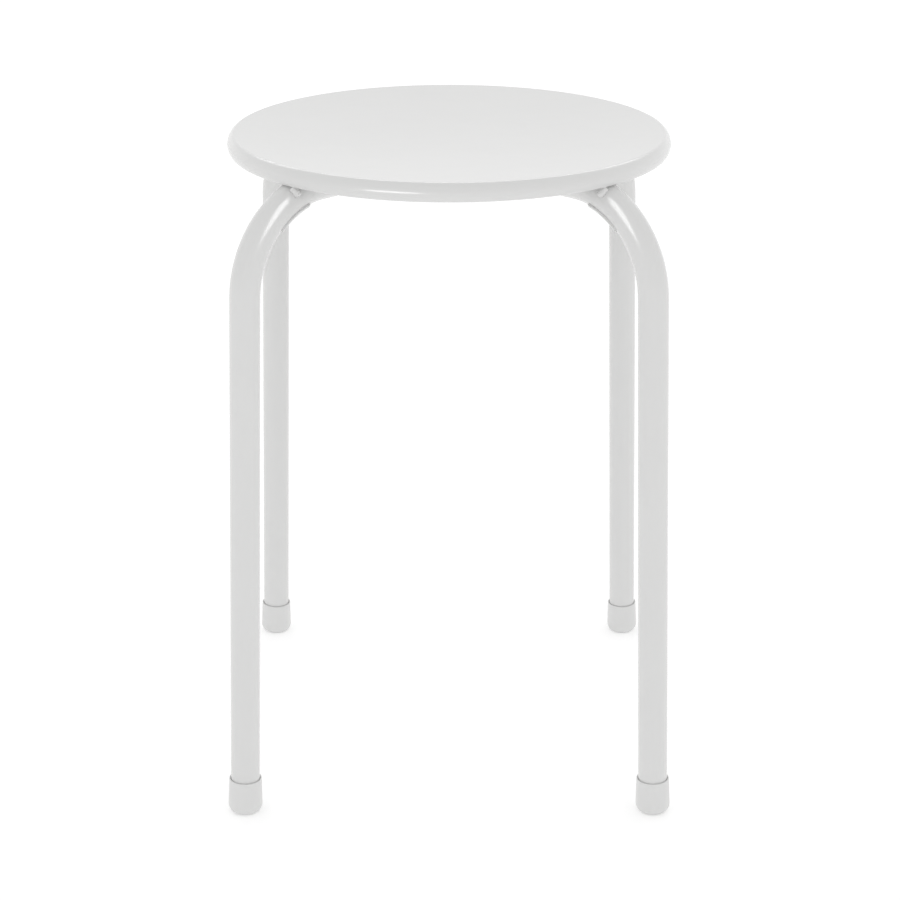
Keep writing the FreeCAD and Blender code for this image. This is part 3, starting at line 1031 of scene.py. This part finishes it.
def light_room(scene, studio):
    """Even white light all round, with a background that the camera sees as white."""
    world = bpy.data.worlds.new("Even light")
    scene.world = world
    world.use_nodes = True
    tree = world.node_tree
    background = tree.nodes["Background"]
    background.inputs["Color"].default_value = (1, 1, 1, 1)
    around = tree.nodes.new("ShaderNodeTexCoord").outputs["Generated"]
    direction = add_node(tree, "SeparateXYZ", {"Vector": around})
    glow = map_node(tree, direction.outputs["Z"], math.sin(BACKDROP_FOOT), math.sin(BACKDROP_RISE),
                    studio.backdrop_glow, 0.0)
    shade = map_node(tree, direction.outputs["Z"], math.sin(BACKDROP_RISE), math.sin(BACKDROP_TOP),
                     0.0, studio.backdrop_shade)
    backdrop = math_node(tree, "ADD", studio.backdrop_light, math_node(tree, "SUBTRACT", glow, shade))
    lit = map_node(tree, direction.outputs["Y"], 0.0, BACKDROP_EDGE, studio.room_light, backdrop)
    seen = tree.nodes.new("ShaderNodeLightPath")
    strength = map_node(tree, seen.outputs["Is Camera Ray"], 0.0, 1.0, lit, 1.0)
    tree.links.new(strength, background.inputs["Strength"])


def soft_lamp(name, piece, target, distance, glow, turn, span, foot, top, roll=0.0):
    """A soft lamp between two heights, whose reflection shows on the given piece alone."""
    rise = (foot + top) / 2
    lamp = bpy.data.lights.new(name, "AREA")
    lamp.shape = "RECTANGLE"
    lamp.size = 2 * distance * math.tan(span / 2)
    lamp.size_y = 2 * distance * math.tan((top - foot) / 2)
    lamp.energy = glow * math.pi * lamp.size * lamp.size_y
    holder = bpy.data.objects.new(name, lamp)
    holder.visible_diffuse = False
    holder.visible_camera = False
    bpy.context.scene.collection.objects.link(holder)
    away = Vector((math.sin(turn) * math.cos(rise), -math.cos(turn) * math.cos(rise), math.sin(rise)))
    holder.location = target + away * distance
    holder.rotation_euler = (away.to_track_quat("Z", "Y") @ Quaternion((0, 0, 1), roll)).to_euler()
    lit = bpy.data.collections.new(name)
    lit.objects.link(bpy.data.objects[piece])
    holder.light_linking.receiver_collection = lit


def place_lamps(studio, plan):
    """Two side lamps for the bends, one for the front of the rim and one for the crest."""
    seat_top = Vector((0, 0, plan.seat.height))
    for name, piece, side in (("Left lamp", "side_leg_front_right", -1), ("Right lamp", "through_leg", 1)):
        soft_lamp(name, piece, seat_top, studio.lamp_distance, studio.side_glow, side * studio.side_turn,
                  studio.side_span, studio.side_foot, studio.side_top, -side * studio.side_roll)
    rim_way = Vector((-math.sin(studio.rim_place), -math.cos(studio.rim_place), 0))
    rim_spot = rim_way * plan.seat.diameter / 2
    rim_spot.z = plan.rim_centre.z
    soft_lamp("Rim lamp", "pressed_seat", rim_spot, studio.rim_distance, studio.rim_glow, -studio.rim_turn,
              studio.rim_span, studio.rim_foot, studio.rim_top)
    soft_lamp("Crest lamp", "pressed_seat", seat_top, studio.lamp_distance, studio.crest_glow, math.pi,
              studio.crest_span, studio.crest_foot, studio.crest_top)


def set_camera(scene, studio):
    """Stands the camera in front of the stool, looking down at it."""
    data = bpy.data.cameras.new("Camera")
    data.lens = studio.lens
    data.shift_x = studio.shift_x
    data.shift_y = studio.shift_y
    camera = bpy.data.objects.new("Camera", data)
    scene.collection.objects.link(camera)
    camera.location = (0, -studio.camera_distance, studio.camera_height)
    camera.rotation_euler = (RIGHT_ANGLE - studio.camera_tilt, 0, 0)
    scene.camera = camera


class STOOL_OT_stage(bpy.types.Operator):
    """Sets the pale floor, the soft light and the camera"""

    bl_idname = "stool.stage"
    bl_label = "Stage"

    def execute(self, context):
        scene = context.scene
        studio = scene.stool_studio
        scene.view_settings.view_transform = "Standard"
        deselect_all()
        bpy.ops.mesh.primitive_plane_add(size=studio.floor_size)
        floor = context.object
        floor.name = "floor"
        floor.data.materials.append(floor_material(studio.floor_colour))
        light_room(scene, studio)
        place_lamps(studio, StoolPlan(scene))
        set_camera(scene, studio)
        return {"FINISHED"}


MAKERS = (
    STOOL_OT_seat_pan,
    STOOL_OT_leg_tubes,
    STOOL_OT_foot_caps,
    STOOL_OT_stacking_pads,
    STOOL_OT_weld_beads,
    STOOL_OT_stage,
)


class STOOL_PT_panel(bpy.types.Panel):
    """Lists the stool's pieces and their sizes"""

    bl_idname = "STOOL_PT_panel"
    bl_label = "Stacking Stool"
    bl_space_type = "VIEW_3D"
    bl_region_type = "UI"
    bl_category = "Stool"

    def draw(self, context):
        for maker in MAKERS:
            self.layout.operator(maker.bl_idname)
        for name in SETTINGS:
            box = self.layout.box()
            box.label(text=name.removeprefix("stool_").title())
            values = getattr(context.scene, name)
            for key in values.__annotations__:
                box.prop(values, key, text=key.replace("_", " ").capitalize())


SETTINGS = {
    "stool_seat": SeatSizes,
    "stool_legs": LegSizes,
    "stool_caps": CapSizes,
    "stool_pads": PadSizes,
    "stool_welds": WeldSizes,
    "stool_finish": FinishValues,
    "stool_studio": StudioValues,
}


def register():
    for group in SETTINGS.values():
        bpy.utils.register_class(group)
    for name, group in SETTINGS.items():
        setattr(bpy.types.Scene, name, PointerProperty(type=group))
    for operator in MAKERS:
        bpy.utils.register_class(operator)
    bpy.utils.register_class(STOOL_PT_panel)


def unregister():
    bpy.utils.unregister_class(STOOL_PT_panel)
    for operator in reversed(MAKERS):
        bpy.utils.unregister_class(operator)
    for name in SETTINGS:
        delattr(bpy.types.Scene, name)
    for group in reversed(SETTINGS.values()):
        bpy.utils.unregister_class(group)


def main():
    register()
    bpy.ops.stool.seat_pan()
    bpy.ops.stool.leg_tubes()
    bpy.ops.stool.foot_caps()
    bpy.ops.stool.stacking_pads()
    bpy.ops.stool.weld_beads()
    bpy.ops.stool.stage()


if __name__ == "__main__":
    main()
